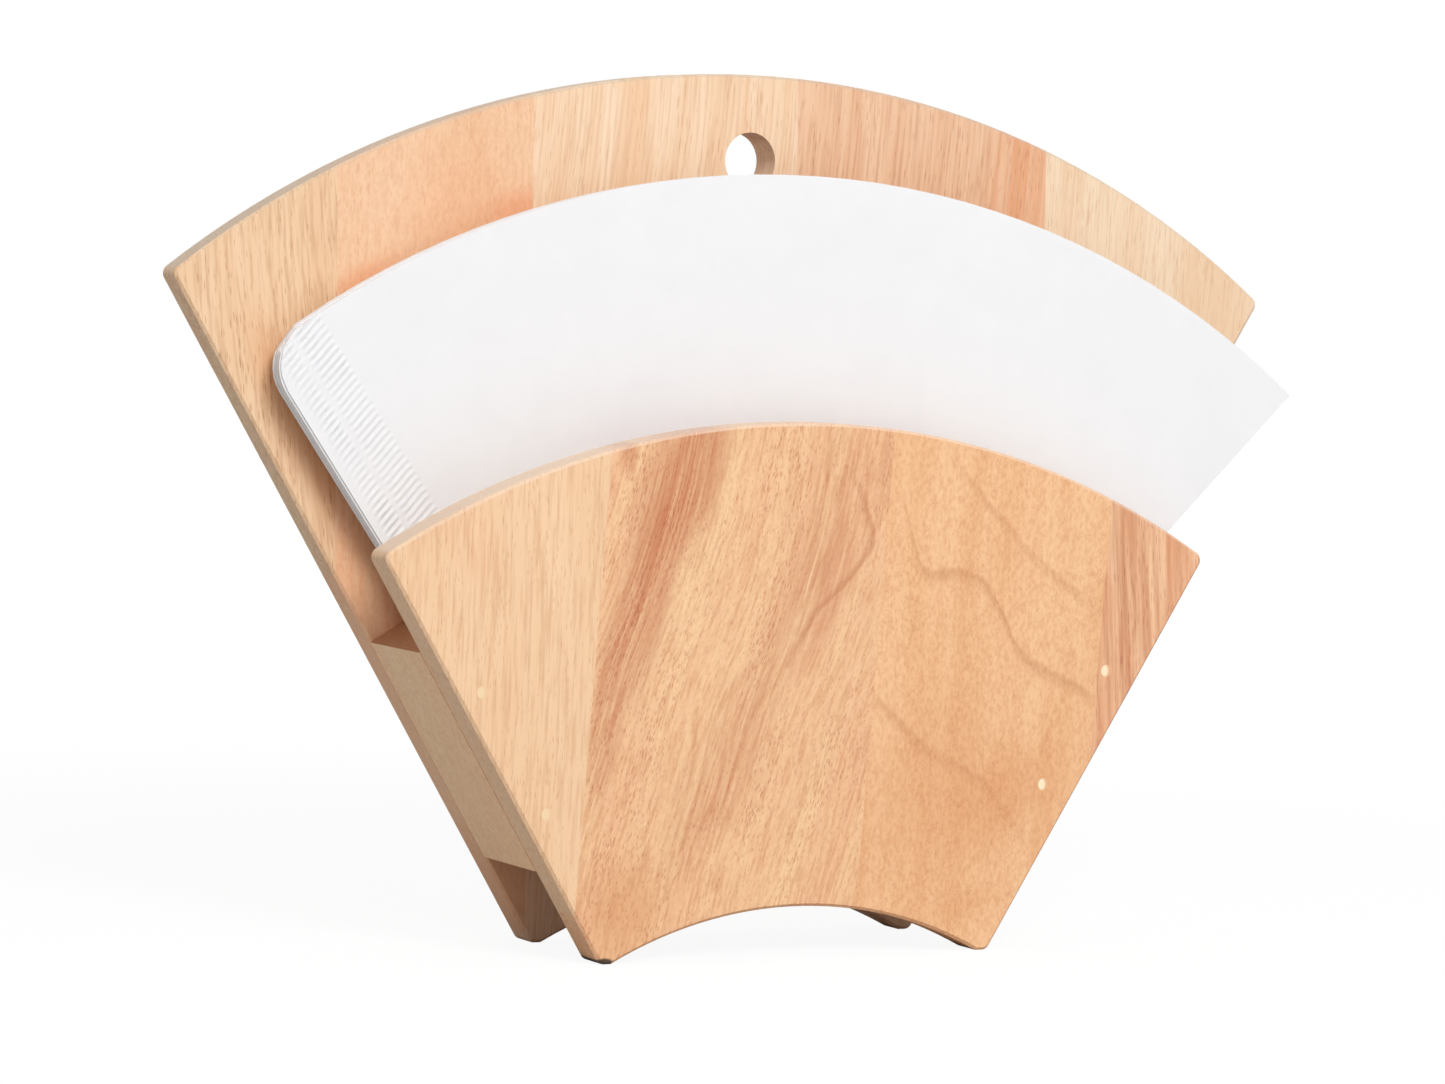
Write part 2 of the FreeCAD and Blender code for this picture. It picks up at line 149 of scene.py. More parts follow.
def curve_through(tree, value, points, low, high):
    """Reads a curve through listed points, pairs in mm within low..high on both axes."""
    span = high - low
    scaled = add(tree, "Math", {0: value, 1: 1 / span, 2: -low / span}, operation="MULTIPLY_ADD")
    node = add(tree, "FloatCurve", {"Value": scaled, "Factor": 1.0})
    curve = node.mapping.curves[0]
    ordered = sorted(points)
    curve.points[0].location = ((ordered[0][0] - low) / span, (ordered[0][1] - low) / span)
    curve.points[1].location = ((ordered[-1][0] - low) / span, (ordered[-1][1] - low) / span)
    for a, b in ordered[1:-1]:
        curve.points.new((a - low) / span, (b - low) / span)
    node.mapping.extend = "HORIZONTAL"
    node.mapping.update()
    return add(tree, "Math", {0: node, 1: span, 2: low}, operation="MULTIPLY_ADD")


def grain_frame(tree, lean, bend, seed):
    """Sockets in mm: plain x, plain z, and the grain's own across, depth and along."""
    in_mm = object_mm(tree)
    plain = add(tree, "SeparateXYZ", {0: in_mm})
    turned = add(tree, "Mapping", {"Vector": in_mm, "Rotation": (0, -math.radians(lean), 0)})
    own = add(tree, "SeparateXYZ", {0: turned})
    across, along = own.outputs["X"], own.outputs["Z"]
    if bend:
        curve = curve_through(tree, along, bend, *GRAIN_REACH)
        across = add(tree, "Math", {0: across, 1: curve}, operation="SUBTRACT")
    # no real grain is ruler straight: it wanders by about a millimetre over a few centimetres
    way = add(tree, "Math", {0: along, 1: 1 / WANDER_LENGTH, 2: seed}, operation="MULTIPLY_ADD")
    wander = add(tree, "TexNoise", {"W": way, "Scale": 1.0, "Detail": 1.0},
                 noise_dimensions="1D")
    aside = add(tree, "Math", {0: wander, 1: WANDER_WIDTH, 2: -WANDER_WIDTH / 2},
                operation="MULTIPLY_ADD")
    across = add(tree, "Math", {0: across, 1: aside}, operation="ADD")
    return plain.outputs["X"], plain.outputs["Z"], (across, own.outputs["Y"], along)


def stretched(tree, grain, wide, long, seed):
    """The grain frame scaled so that one unit is one cell of wide by long millimetres."""
    across, depth, along = grain
    return add(tree, "CombineXYZ", {
        "X": add(tree, "Math", {0: across, 1: 1 / wide, 2: seed}, operation="MULTIPLY_ADD"),
        "Y": add(tree, "Math", {0: depth, 1: 1 / wide}, operation="MULTIPLY"),
        "Z": add(tree, "Math", {0: along, 1: 1 / long}, operation="MULTIPLY")})


def soft_patch(tree, x, z, centre, half, tilt=0.0, edge=0.5):
    """1 inside an ellipse in the board's plane, fading to 0 at its rim. Sizes in mm."""
    c, s = math.cos(math.radians(tilt)), math.sin(math.radians(tilt))
    dx = add(tree, "Math", {0: x, 1: centre[0]}, operation="SUBTRACT")
    dz = add(tree, "Math", {0: z, 1: centre[1]}, operation="SUBTRACT")
    squares = []
    for share_x, share_z in ((c / half[0], -s / half[0]), (s / half[1], c / half[1])):
        from_x = add(tree, "Math", {0: dx, 1: share_x}, operation="MULTIPLY")
        from_z = add(tree, "Math", {0: dz, 1: share_z}, operation="MULTIPLY")
        both = add(tree, "Math", {0: from_x, 1: from_z}, operation="ADD")
        squares.append(add(tree, "Math", {0: both, 1: both}, operation="MULTIPLY"))
    total = add(tree, "Math", {0: squares[0], 1: squares[1]}, operation="ADD")
    reach = add(tree, "Math", {0: total}, operation="SQRT")
    return add(tree, "MapRange", {"Value": reach, "From Min": 1.0, "From Max": 1.0 - edge},
               interpolation_type="SMOOTHSTEP")


# %% [markdown]
# The figure that marks a stave out is drawn by two functions. Reddish streaks are broken
# veins, half a millimetre to a millimetre and a half wide, that gather in patches. A growth
# line is one feature at one place, which a noise would put elsewhere, so it is a curve through
# a few listed points, crisp on one side and soft on the other.


# %% Streaks and growth lines
VEIN_RAMP, STREAK_EDGE = (0.38, 0.66), 0.7
LINE_CRISP, LINE_SOFT = 0.8, 1.8                     # shares of the line's width
LINE_FADE, LINE_DRIFT, DRIFT_SCALE = 6.0, 2.6, 0.16  # mm, mm and cells per mm


def red_streaks(tree, x, z, grain, seed, vein, streaks, ink, tone):
    veins = add(tree, "TexNoise", {"Vector": stretched(tree, grain, *vein, seed + 7),
                                   "Scale": 1.0, "Detail": 4.0, "Roughness": 0.65})
    red = add(tree, "MapRange", {"Value": veins, "From Min": VEIN_RAMP[0],
                                 "From Max": VEIN_RAMP[1]})
    for centre, half, tilt, strength, ground in streaks:
        patch = soft_patch(tree, x, z, centre, half, tilt, STREAK_EDGE)
        dyed = add(tree, "Math", {0: red, 1: strength, 2: ground}, operation="MULTIPLY_ADD")
        amount = add(tree, "Math", {0: patch, 1: dyed}, operation="MULTIPLY", use_clamp=True)
        tone = add(tree, "Mix", {0: amount, 6: tone, 7: linear(ink)}, data_type="RGBA").outputs[2]
    return tone


def growth_line(tree, x, z, seed, axis, points, width, strength, ink, tone):
    place = add(tree, "CombineXYZ", {"X": x, "Y": seed, "Z": z})
    sway = add(tree, "TexNoise", {"Vector": place, "Scale": DRIFT_SCALE, "Detail": 3.0})
    drift = add(tree, "Math", {0: sway, 1: LINE_DRIFT, 2: -LINE_DRIFT / 2},
                operation="MULTIPLY_ADD")
    here, there = (x, z) if axis == "x" else (z, x)
    curve = curve_through(tree, here, points, *BOARD_REACH)
    beside = add(tree, "Math", {0: there, 1: curve}, operation="SUBTRACT")
    offset = add(tree, "Math", {0: drift, 1: beside}, operation="ADD")
    low, high = min(points)[0], max(points)[0]
    amount = strength
    for value, start, end, slope in ((offset, LINE_CRISP * width, 0.0, "SMOOTHSTEP"),
                                     (offset, -LINE_SOFT * width, 0.0, "SMOOTHSTEP"),
                                     (here, low, low + LINE_FADE, "LINEAR"),
                                     (here, high, high - LINE_FADE, "LINEAR")):
        inside = add(tree, "MapRange", {"Value": value, "From Min": start, "From Max": end},
                     interpolation_type=slope)
        amount = add(tree, "Math", {0: inside, 1: amount}, operation="MULTIPLY")
    return add(tree, "Mix", {0: amount, 6: tone, 7: linear(ink)}, data_type="RGBA").outputs[2]


# %% [markdown]
# Pores are open vessels: long slots on the face, round holes on the end grain. Their number
# rises and falls from place to place. The saw and the oil do the rest: sawn feet soak up oil and
# dry darker, and the crown, which is end grain too but sanded, looks greyer than the face. On the
# back board the crown is darker as well, and that darkness is painted shade.


# %% Pores and cut faces
CROWD_CELL, PORE_RIM = (5.0, 30.0), 0.12             # mm, and a share of a pore's cell
PORE_SWING, PORE_LOSS = 2.2, 0.1                     # a crowd of 0.5 gives the stave's own share
SAWN_SLOPE, CROWN_SLOPE = (0.6, 0.85), (0.5, 0.75)   # the normal's share of straight down or up


def open_pores(tree, grain, pore, share, seed):
    """1 inside a pore and 0 outside."""
    cells = add(tree, "TexVoronoi", {"Vector": stretched(tree, grain, *pore, seed + 11),
                                     "Scale": 1.0, "Randomness": 1.0})
    crowd = add(tree, "TexNoise", {"Vector": stretched(tree, grain, *CROWD_CELL, seed + 13),
                                   "Scale": 1.0, "Detail": 2.0})
    radius = add(tree, "Math", {0: crowd, 1: PORE_SWING * share, 2: -PORE_LOSS * share},
                 operation="MULTIPLY_ADD")
    inside = add(tree, "Math", {0: radius, 1: cells.outputs["Distance"]}, operation="SUBTRACT")
    return add(tree, "Math", {0: inside, 1: PORE_RIM}, operation="DIVIDE", use_clamp=True)


def cut_faces(tree, tone, sawn, both_ends, crown):
    """Darkens sawn faces below, or both ends (the tops as painted shade), and greys the crown."""
    facing = add(tree, "SeparateXYZ", {0: add(tree, "TexCoord").outputs["Normal"]}).outputs["Z"]
    steep = add(tree, "Math", {0: facing, 1: -1.0},
                operation="ABSOLUTE" if both_ends else "MULTIPLY")
    cuts = [(steep, SAWN_SLOPE, sawn, "MULTIPLY")]
    if crown:
        cuts.append((facing, CROWN_SLOPE, crown, "MIX"))
    for value, slope, (colour, share), blend in cuts:
        amount = add(tree, "MapRange", {"Value": value, "From Min": slope[0],
                                        "From Max": slope[1], "To Max": share})
        tone = add(tree, "Mix", {0: amount, 6: tone, 7: linear(colour)}, data_type="RGBA",
                   blend_type=blend).outputs[2]
    return tone


# %% [markdown]
# One function paints every stave, and a short table of settings tells them apart. The layers
# go on as they would in the tree: ground tone, broad bands, fibres, reddish streaks where the
# stave has them, growth lines, darker patches, pores and flecks, and then the cut faces. Some
# of the patches and cut faces are painted shade.


# %% The wood recipe
BAND_RAMP, BAND_STRETCH = (0.35, 0.65), 11           # a band is eleven times as long as wide
FIBRE_RAMP, FIBRE_RELIEF = (0.44, 0.7), 0.3
FLECK_CELL, FLECK_RAMP = (0.55, 1.0), (0.4, 0.72)    # the cell in mm
GRAIN_RELIEF, RELIEF_STRENGTH = 0.00006, 0.35        # the relief in m
OILED_ROUGHNESS, PORE_ROUGHNESS = 0.46, 0.2          # the face's own, and what a pore adds


def rubberwood(name, seed, pale, mid, deep, lean=0.0, bend=None, band=9.0,
               fibre=(0.9, 14.0, 0.4), pore=(0.5, 3.4), pore_depth=0.3, pore_share=0.27,
               streaks=(), streak=None, vein=None, lines=(), patches=(), fleck=0.0,
               sawn=("c79a74", 0.5), both_ends=False, crown=("e8d7c6", 0.5)):
    """Each layer adds a number of its own to the seed, so that no two noises line up."""
    material, tree = new_material(name)
    x, z, grain = grain_frame(tree, lean, bend, seed)

    bands = add(tree, "TexNoise", {
        "Vector": stretched(tree, grain, band, band * BAND_STRETCH, seed),
        "Scale": 1.0, "Detail": 3.0, "Roughness": 0.55})
    amount = add(tree, "MapRange", {"Value": bands, "From Min": BAND_RAMP[0],
                                    "From Max": BAND_RAMP[1]})
    tone = add(tree, "Mix", {0: amount, 6: linear(mid), 7: linear(pale)},
               data_type="RGBA").outputs[2]
    wide, long, strength = fibre
    fibres = add(tree, "TexNoise", {"Vector": stretched(tree, grain, wide, long, seed + 3),
                                    "Scale": 1.0, "Detail": 2.0, "Roughness": 0.55})
    amount = add(tree, "MapRange", {"Value": fibres, "From Min": FIBRE_RAMP[0],
                                    "From Max": FIBRE_RAMP[1], "To Max": strength})
    tone = add(tree, "Mix", {0: amount, 6: tone, 7: linear(deep)}, data_type="RGBA").outputs[2]

    if streaks:
        tone = red_streaks(tree, x, z, grain, seed, vein, streaks, streak, tone)
    for line in lines:
        tone = growth_line(tree, x, z, seed, *line, tone)
    for centre, half, tilt, ink, strength, edge in patches:
        patch = soft_patch(tree, x, z, centre, half, tilt, edge)
        amount = add(tree, "Math", {0: patch, 1: strength}, operation="MULTIPLY")
        tone = add(tree, "Mix", {0: amount, 6: tone, 7: linear(ink)}, data_type="RGBA").outputs[2]

    pores = open_pores(tree, grain, pore, pore_share, seed)
    marks = [add(tree, "Math", {0: pores, 1: pore_depth}, operation="MULTIPLY")]
    if fleck:       # short flecks of mottled figure, where the fibres dip out of the face
        spots = add(tree, "TexNoise", {"Vector": stretched(tree, grain, *FLECK_CELL, seed + 17),
                                       "Scale": 1.0, "Detail": 2.0})
        marks.append(add(tree, "MapRange", {"Value": spots, "From Min": FLECK_RAMP[0],
                                            "From Max": FLECK_RAMP[1], "To Max": fleck}))
    for amount in marks:
        tone = add(tree, "Mix", {0: amount, 6: tone, 7: linear(deep)}, data_type="RGBA",
                   blend_type="MULTIPLY").outputs[2]
    tone = cut_faces(tree, tone, sawn, both_ends, crown)

    # sanded and oiled: fibres and pores stand a few hundredths of a millimetre proud or low
    proud = add(tree, "Math", {0: fibres, 1: FIBRE_RELIEF}, operation="MULTIPLY")
    height = add(tree, "Math", {0: proud, 1: pores}, operation="SUBTRACT")
    bump = add(tree, "Bump", {"Height": height, "Strength": RELIEF_STRENGTH,
                              "Distance": GRAIN_RELIEF})
    rough = add(tree, "Math", {0: pores, 1: PORE_ROUGHNESS, 2: OILED_ROUGHNESS},
                operation="MULTIPLY_ADD")
    oiled = add(tree, "BsdfPrincipled", {"Base Color": tone, "Roughness": rough, "IOR": 1.45,
                                         "Normal": bump})
    add(tree, "OutputMaterial", {"Surface": oiled})
    return material


def dress(node, material):
    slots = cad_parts[node].data.materials
    slots.clear()
    slots.append(material)


# %% [markdown]
# ### The front board's four staves
#
# From left to right: pale straw with fine upright pores; light orange with a sheaf of reddish
# streaks that leans to the left as it comes down, and one growth line; orange tan with three
# wandering growth lines; and a pinkish offcut with dark upright streaks. The lower left corner
# of the second stave carries a small near-black mark at its foot.

# %% Front staves
# a small near-black mark at the foot of the second stave's lower left corner
FOOT_MARK = ((-37.4, 0.3), (2.2, 1.0), 0.0, "15100c", 0.9, 0.45)

front_looks = {
    "front_stave_1": dict(
        seed=1.0, pale="f3cea7", mid="efc69d", deep="cb9468", lean=0.5, band=9.0,
        fibre=(0.55, 9.0, 0.42), pore=(0.38, 2.6), pore_depth=0.3, pore_share=0.25,
        streak="d98f66", vein=(0.45, 6.0), streaks=[((-68, 78), (7, 24), -31, 0.3, 0.0)]),
    "front_stave_2": dict(
        seed=12.0, pale="f5cd9f", mid="f0bf94", deep="c67c50", lean=14.0,
        bend=[(-20, 0), (20, -0.6), (35, 0), (55, 2.5), (72, 4), (85, 3), (101, 1)], band=7.0,
        fibre=(0.5, 5.0, 0.42), pore=(0.37, 1.6), pore_depth=0.42, pore_share=0.28,
        fleck=0.16, streak="c67c54", vein=(0.55, 22.0),
        streaks=[((-25, 83), (10, 25), 20, 0.62, 0.36), ((-33, 60), (8, 23), 12, 0.6, 0.26),
                 ((-38.5, 42), (4.5, 22), 6, 0.55, 0.15), ((-35.5, 90), (2.4, 10), 3, 0.5, 0.3),
                 ((3, 78), (11, 20), 12, 0.42, 0.06), ((-1, 60), (9, 20), 26, 0.5, 0.08),
                 ((-16, 34), (9, 27), 26, 0.5, 0.1), ((17, 86), (6, 12), 20, 0.3, 0.12)],
        lines=[("z", [(50, -4.0), (59, 1.1), (64, 5.8), (67, 8.7), (71, 11.5), (78, 10.8),
                      (85, 6.9)], 1.0, 0.45, "b87044")],
        patches=[((-34, 9), (11, 14), 20, "d99766", 0.5, 0.9), FOOT_MARK]),
    "front_stave_3": dict(
        seed=23.0, pale="f7cb9d", mid="edb888", deep="cc8654", lean=2.0, band=8.0,
        fibre=(0.8, 2.0, 0.16), pore=(0.4, 0.8), pore_depth=0.2, fleck=0.26,
        lines=[("x", [(16, 87), (18.1, 79.4), (20.4, 72.4), (22.7, 67.2), (27.7, 66.9),
                      (32.8, 66.3), (38.2, 60.2), (42.6, 53.1), (47.9, 49.5), (56.4, 45.8),
                      (62, 42)], 1.5, 0.36, "bd7a4b"),
               ("x", [(9, 46), (13.6, 44.5), (17.7, 41.9), (21.9, 37.4), (29.1, 33.8),
                      (36.4, 29.3), (39.7, 25.7), (46, 19)], 1.7, 0.26, "bd7a4b"),
               ("x", [(26, 89), (34, 80), (43.9, 70.7), (48.1, 67.2), (53.5, 63.7), (60, 59)],
                1.4, 0.22, "bd7a4b")],
        patches=[((26, 26), (34, 26), -15, "dfa070", 0.3, 1.0),
                 ((41, 28), (17, 11), -38, "dd9660", 0.4, 0.9),
                 ((33, 8), (12, 4), -20, "dd9a66", 0.3, 0.9)]),
    "front_stave_4": dict(
        seed=34.0, pale="f4c69e", mid="e6a980", deep="c07a50", lean=-5.0, band=2.4,
        fibre=(0.55, 12.0, 0.4), pore=(0.4, 3.6), pore_depth=0.34, streak="b26c45",
        vein=(1.0, 34.0), streaks=[((64, 61), (16, 36), 0, 0.62, -0.06)]),
}
for node, look in front_looks.items():
    dress(node, rubberwood("rubberwood_" + node, **look))
print("front staves:", len(front_looks))

# %% [markdown]
# ### The back board's five staves
#
# Pale straw with dark hairlines, a plain peach one with hardly any figure, a wide one of pale
# stripes, a pinkish one that turns salmon towards its right, and a pale end stave. Beside the
# filters and the block on the left, and at their feet, the first three carry painted shade: warm
# orange-brown patches. The second also has real reddish streaks there.

# %% Back staves
# the back crown is greyed as on the front and darker still: the extra darkness is painted shade
BACK_CROWN_GREY_AND_SHADE = ("b4ae9f", 0.45)

back_looks = {
    "back_stave_1": dict(
        seed=45.0, pale="f1cfa9", mid="ebc39c", deep="b98358", lean=-7.0, band=5.0,
        fibre=(0.55, 8.0, 0.42), pore=(0.42, 3.8), pore_depth=0.42, pore_share=0.25,
        # painted shade: a warm orange-brown band beside the filters' left edge
        patches=[((-80, 84), (7, 36), -31, "dd8a52", 0.5, 0.8)]),
    "back_stave_2": dict(
        seed=56.0, pale="f2c9a4", mid="ecbe96", deep="d6976a", lean=-1.0, band=14.0,
        fibre=(0.8, 4.0, 0.25), pore=(0.5, 1.8), pore_depth=0.15, fleck=0.15, streak="eda27a",
        vein=(1.5, 24.0), streaks=[((-66, 66), (16, 34), -28, 0.6, 0.0)],
        patches=[((-56, 126), (14, 20), 0, "efb086", 0.35, 0.9),
                 ((-44.5, 127), (9, 6), -20, "f09a6c", 0.5, 0.9),
                 ((-73, 114), (12, 5), -30, "f29e6c", 0.5, 0.9),
                 # painted shade: the next patch darkens the gap above the left block, the last one
                 # the foot
                 ((-60, 64), (14, 34), -28, "dd8f5e", 0.3, 0.8),
                 ((-40, 14), (12, 22), -20, "cf8458", 0.3, 0.6)]),
    "back_stave_3": dict(
        seed=67.0, pale="f5d8b9", mid="efc8a2", deep="d29c74", lean=3.0, band=4.0,
        fibre=(0.6, 16.0, 0.45), pore=(0.45, 4.5), pore_depth=0.28,
        # painted shade at the foot
        patches=[((-36, 10), (12, 22), -20, "cf8458", 0.3, 0.6)]),
    "back_stave_4": dict(
        seed=78.0, pale="f0c8a5", mid="e9ba96", deep="c4855c", lean=2.0, band=4.0,
        fibre=(0.55, 14.0, 0.45), pore=(0.45, 4.0), pore_depth=0.32, streak="e3935e",
        vein=(1.2, 34.0), streaks=[((56, 135), (10, 26), 2, 0.5, 0.06)]),
    "back_stave_5": dict(
        seed=89.0, pale="f3dabb", mid="eecaa6", deep="d29a70", lean=2.0, band=8.0,
        fibre=(0.6, 12.0, 0.3), pore=(0.45, 4.0), pore_depth=0.22),
}
for node, look in back_looks.items():
    dress(node, rubberwood("rubberwood_" + node, crown=BACK_CROWN_GREY_AND_SHADE, **look))
print("back staves:", len(back_looks))

# %% [markdown]
# The two spacer blocks are of the same wood, with short soft fibres along the strip, so their
# lean follows the slanted sides. Both their ends are sawn and darkened; at the top end, in the
# slot, that darkening is painted shade. The wood putty over the brads is a chalky filler, sanded
# flush: thick in the middle, thin towards its rim where the wood's colour comes through. The
# brads themselves are drawn steel wire, and nothing of them shows.

# %% Spacers, putty and brads
SPACER_LEAN = 31.0                                   # degrees
PUTTY_HALF, PUTTY_SHIFT = (1.0, 1.35), 0.4           # mm: half sizes of a spot, and its slip
PUTTY_GRAIN = 2500.0                                 # grains of 0.4 mm, cells per metre

# both ends of each block are darkened; at the top end, in the slot, that is painted shade
for node, lean in (("left_spacer", -SPACER_LEAN), ("right_spacer", SPACER_LEAN)):
    dress(node, rubberwood("rubberwood_" + node, seed=101.0 + lean, pale="ffdcb0", mid="fed0a4",
                           deep="d49c76", lean=lean, band=9.0, fibre=(0.6, 2.5, 0.2),
                           pore=(0.4, 0.9), pore_depth=0.22, fleck=0.28,
                           sawn=("a8704c", 0.75), both_ends=True, crown=None))


def wood_putty(node, wood, filler):
    """Two near tones of wood under a soft spot of filler."""
    material, tree = new_material("wood_putty_" + node)
    in_mm = add(tree, "SeparateXYZ", {0: object_mm(tree)})
    low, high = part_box(node)
    centre = (MM / 2 * (low[0] + high[0]) - PUTTY_SHIFT, MM / 2 * (low[2] + high[2]))
    thick = soft_patch(tree, in_mm.outputs["X"], in_mm.outputs["Z"], centre, PUTTY_HALF)
    grit = add(tree, "TexNoise", {"Vector": add(tree, "TexCoord").outputs["Object"],
                                  "Scale": PUTTY_GRAIN, "Detail": 3.0})
    thin = add(tree, "Mix", {0: grit, 6: linear(wood[0]), 7: linear(wood[1])},
               data_type="RGBA").outputs[2]
    shade = add(tree, "Mix", {0: thick, 6: thin, 7: linear(filler)}, data_type="RGBA").outputs[2]
    rise = add(tree, "Bump", {"Height": grit, "Strength": 0.3, "Distance": 0.00004})
    chalky = add(tree, "BsdfPrincipled", {"Base Color": shade, "Roughness": 0.8, "IOR": 1.5,
                                          "Normal": rise})
    add(tree, "OutputMaterial", {"Surface": chalky})
    return material


steel, tree = new_material("drawn_steel_wire")
lengthwise = add(tree, "Mapping", {"Vector": add(tree, "TexCoord").outputs["Object"],
                                   "Scale": (9000, 200, 9000)})
drawn_lines = add(tree, "TexNoise", {"Vector": lengthwise, "Scale": 1.0, "Detail": 2.0})
drawn_rough = add(tree, "MapRange", {"Value": drawn_lines, "To Min": 0.25, "To Max": 0.4})
wire = add(tree, "BsdfPrincipled", {"Base Color": linear("b9b9bb"), "Metallic": 1.0,
                                    "Roughness": drawn_rough})
add(tree, "OutputMaterial", {"Surface": wire})

for side, wood, filler in (("left", ("ecc39a", "f2cca4"), "f2d5ab"),
                           ("right", ("e4ab80", "edba8e"), "fee9c4")):
    for level in ("upper", "lower"):
        spot = "%s_%s_filler" % (side, level)
        dress(spot, wood_putty(spot, wood, filler))
        dress("%s_%s_brad" % (side, level), steel)
print("putty materials:", sum(m.name.startswith("wood_putty") for m in bpy.data.materials))

# %% [markdown]
# ## The stack of paper filters
#
# A cone filter is one piece of creped paper folded in two: the fold is its right side, and its
# left side and foot are crimped together with rows of tiny ridges. The CAD solid is the whole
# stack as one block. Here it becomes sheets: each filter is two plies, laid a little off its
# neighbours as a hand drops them in. A ply is drawn 0.18 mm thick, a little more than real
# paper, so that the stack's edge closes as a real one does. Only the front filter shows its
# crimped band, so only that one gets real ridges. A bump texture would be lighter, but the
# ridges catch the light best when they are really there.

# %% The filters' outline
LEFT_ANGLE, RIGHT_ANGLE = math.radians(34.6), math.radians(44.1)
REST_X, REST_Z, REST_GAP = 63.454, 56.915, 0.25      # the blocks' inner top corners, mm
CROWN_Z, CROWN_RADIUS, CROWN_SHIFT = REST_Z + 78.1, 158.3, 2.4
FOOT_Z, FOOT_SLOPE = REST_Z - 45.0, -math.tan(math.radians(4.7))
CORNER_RADIUS = 8.0
STACK_DEEP, STACK_TURN, STACK_FRONT = 4.5, math.radians(3.5), -2.25


def along_ray(start, direction, distance):
    return start[0] + distance * direction[0], start[1] + distance * direction[1]


def far_crossing(start, direction, centre, radius):
    """Where a line leaves a circle for good."""
    dx, dz = start[0] - centre[0], start[1] - centre[1]
    b = dx * direction[0] + dz * direction[1]
    c = dx * dx + dz * dz - radius * radius
    return along_ray(start, direction, -b + math.sqrt(b * b - c))


def foot_crossing(start, direction):
    t = (FOOT_Z + FOOT_SLOPE * start[0] - start[1]) / (direction[1] - FOOT_SLOPE * direction[0])
    return along_ray(start, direction, t)


LEFT_UP = (-math.sin(LEFT_ANGLE), math.cos(LEFT_ANGLE))
LEFT_IN = (math.cos(LEFT_ANGLE), math.sin(LEFT_ANGLE))
RIGHT_UP = (math.sin(RIGHT_ANGLE), math.cos(RIGHT_ANGLE))
LEFT_AT = (-REST_X + REST_GAP * LEFT_IN[0], REST_Z + REST_GAP * LEFT_IN[1])
RIGHT_AT = (REST_X - REST_GAP * math.cos(RIGHT_ANGLE), REST_Z + REST_GAP * math.sin(RIGHT_ANGLE))
CROWN = (CROWN_SHIFT, CROWN_Z - CROWN_RADIUS)

# the rounded corner's circle touches the left side and the crown from inside
inset_start = along_ray(LEFT_AT, LEFT_IN, CORNER_RADIUS)
CORNER = far_crossing(inset_start, LEFT_UP, CROWN, CROWN_RADIUS - CORNER_RADIUS)
reach = CROWN_RADIUS / (CROWN_RADIUS - CORNER_RADIUS)
touch = (CROWN[0] + reach * (CORNER[0] - CROWN[0]), CROWN[1] + reach * (CORNER[1] - CROWN[1]))
TOUCH_INSET = (touch[0] - LEFT_AT[0]) * LEFT_IN[0] + (touch[1] - LEFT_AT[1]) * LEFT_IN[1]
print("rounded corner ends", round(TOUCH_INSET, 2), "mm in from the left side")


# %% [markdown]
# A sheet is a grid of upright lines from foot to crown. Beside the left edge the lines run
# parallel to it, which suits the crimped band, and then they fan out towards the fold.


# %% Grid lines of a sheet
BAND_END = 15.0


def sheet_lines(insets, fan_steps):
    """(foot point, crown point) of each upright grid line, in mm, from left to right."""
    found = []
    for inset in insets:
        start = along_ray(LEFT_AT, LEFT_IN, inset)
        if inset < TOUCH_INSET:
            # a hair more than the radius, because the outermost line only touches the circle
            top = far_crossing(start, LEFT_UP, CORNER, CORNER_RADIUS + 1e-6)
        else:
            top = far_crossing(start, LEFT_UP, CROWN, CROWN_RADIUS)
        found.append((foot_crossing(start, LEFT_UP), top))
    first_foot, first_top = found[-1]
    last_foot = foot_crossing(RIGHT_AT, RIGHT_UP)
    last_top = far_crossing(RIGHT_AT, RIGHT_UP, CROWN, CROWN_RADIUS)
    a0 = math.atan2(first_top[0] - CROWN[0], first_top[1] - CROWN[1])
    a1 = math.atan2(last_top[0] - CROWN[0], last_top[1] - CROWN[1])
    for n in range(1, fan_steps + 1):
        share = n / fan_steps
        turn = a0 + share * (a1 - a0)
        foot = tuple(f + share * (g - f) for f, g in zip(first_foot, last_foot))
        found.append((foot, (CROWN[0] + CROWN_RADIUS * math.sin(turn),
                             CROWN[1] + CROWN_RADIUS * math.cos(turn))))
    return found


def place_in_slot(x, z, depth):
    """A point of the upright sheet plane, turned and set into the slot, in metres."""
    c, s = math.cos(STACK_TURN), math.sin(STACK_TURN)
    return Vector((x * c + depth * s, STACK_FRONT - x * s + depth * c, z)) / MM


# %% [markdown]
# The crimped band is two columns of ridges pressed by a toothed wheel. A ridge crosses its
# column almost squarely, every 1.2 mm, and dies out softly at both ends. The height is worked
# out from a point's distance to the left edge and its place along that edge.

# %% Crimp relief
RIDGE_PITCH, RIDGE_HEIGHT, RIDGE_SLANT = 1.2, 0.2, math.tan(math.radians(15))
CRIMP_COLUMNS = ((1.2, 5.0), (5.7, 11.6))            # mm from the left edge
CRIMP_FADE, COLUMN_STEP = 0.8, 0.4                   # mm, and a share of the pitch


def smooth(value):
    value = min(max(value, 0.0), 1.0)
    return value * value * (3 - 2 * value)


